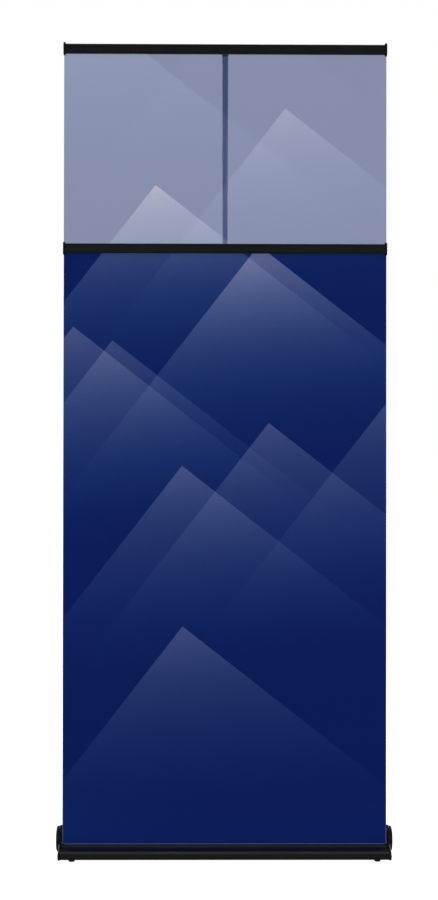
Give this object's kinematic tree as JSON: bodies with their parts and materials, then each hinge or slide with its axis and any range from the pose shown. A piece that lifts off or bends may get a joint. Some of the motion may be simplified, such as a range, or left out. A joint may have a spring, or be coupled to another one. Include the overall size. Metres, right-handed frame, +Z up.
{
  "type": "roll-up banner stand",
  "caption": "Roll-up banner stand: spring roller in a low cassette, opaque lower banner, clear header panel, clamping rails and a telescopic rear pole.",
  "frame": {"origin": "on the floor, at the centre of the base", "axes": "+X to the right seen from the front, +Z up, the banner faces -Y"},
  "size_m": [0.884, 0.173, 2.145],
  "materials": {
    "black_anodised": "satin black anodised extrusion",
    "black_plastic": "moulded, soft sheen",
    "black_rubber": "matt",
    "bright_screw": "nickel plated",
    "zinc_steel": "zinc plated",
    "spring_steel": "oiled spring wire",
    "silver_anodised": "satin silver anodised tube",
    "mill_aluminium": "mill finish",
    "pale_nylon": "natural nylon",
    "navy_print": "matt printed sheet, grey back",
    "header_film": "see-through printed film"
  },
  "bodies": {
    "base": {"cassette_shell": "black_anodised", "left_end_cap": "black_plastic", "right_end_cap": "black_plastic", "left_cap_screw_hump_front": "bright_screw", "left_cap_screw_hump_rear": "bright_screw", "left_cap_screw_nose": "bright_screw", "left_cap_screw_tail": "bright_screw", "right_cap_screw_hump_front": "bright_screw", "right_cap_screw_hump_rear": "bright_screw", "right_cap_screw_nose": "bright_screw", "right_cap_screw_tail": "bright_screw", "front_left_foot": "black_rubber", "front_right_foot": "black_rubber", "rear_left_foot": "black_rubber", "rear_right_foot": "black_rubber", "front_left_foot_screw": "zinc_steel", "front_right_foot_screw": "zinc_steel", "rear_left_foot_screw": "zinc_steel", "rear_right_foot_screw": "zinc_steel", "roller_axle": "zinc_steel", "torsion_spring": "spring_steel", "idler_bush": "pale_nylon", "pole_socket": "black_plastic", "pole_foot_plug": "black_rubber", "pole_lower_tube": "silver_anodised", "pole_ferrule": "zinc_steel", "pole_middle_tube": "silver_anodised", "lock_collar": "black_plastic"},
    "roller": {"roller_tube": "mill_aluminium", "roller_idler_plug": "pale_nylon", "roller_drive_plug": "pale_nylon", "wound_banner": "navy_print"},
    "head": {"pole_upper_tube": "silver_anodised", "pole_slide_plug": "pale_nylon", "pole_head": "black_plastic", "rail_bracket": "zinc_steel", "top_rail_back": "black_anodised", "top_rail_left_cap": "black_plastic", "top_rail_right_cap": "black_plastic", "header_panel": "header_film", "mid_rail_back": "black_anodised", "mid_rail_front": "black_anodised", "mid_rail_left_cap": "black_plastic", "mid_rail_right_cap": "black_plastic", "mid_rail_screw_1": "bright_screw", "mid_rail_screw_2": "bright_screw", "mid_rail_screw_3": "bright_screw", "mid_rail_screw_4": "bright_screw", "mid_rail_screw_5": "bright_screw", "banner": "navy_print"},
    "jaw": {"top_rail_jaw": "black_anodised"},
    "twist_nut": {"lock_nut": "black_plastic"}
  },
  "joints": [
    {"name": "height_slide", "type": "slide", "parent": "base", "child": "head", "axis": [0, 0, 1], "range_m": [-0.526, 0], "deforming": ["banner"]},
    {"name": "roller_spin", "type": "hinge", "parent": "base", "child": "roller", "pos_m": [0, -0.00645, 0.035], "axis": [1, 0, 0], "range_deg": [0, 1510]},
    {"name": "jaw_hinge", "type": "hinge", "parent": "head", "child": "jaw", "pos_m": [0, -0.00054, 2.13794], "axis": [-1, 0, 0], "range_deg": [0, 50]},
    {"name": "twist_lock", "type": "hinge", "parent": "base", "child": "twist_nut", "pos_m": [0, 0.035, 1.516], "axis": [0, 0, 1], "range_deg": [0, 90]}
  ],
  "couplings": [
    {"joint": "roller_spin", "follows": "height_slide", "rad_per_m": -50}
  ]
}
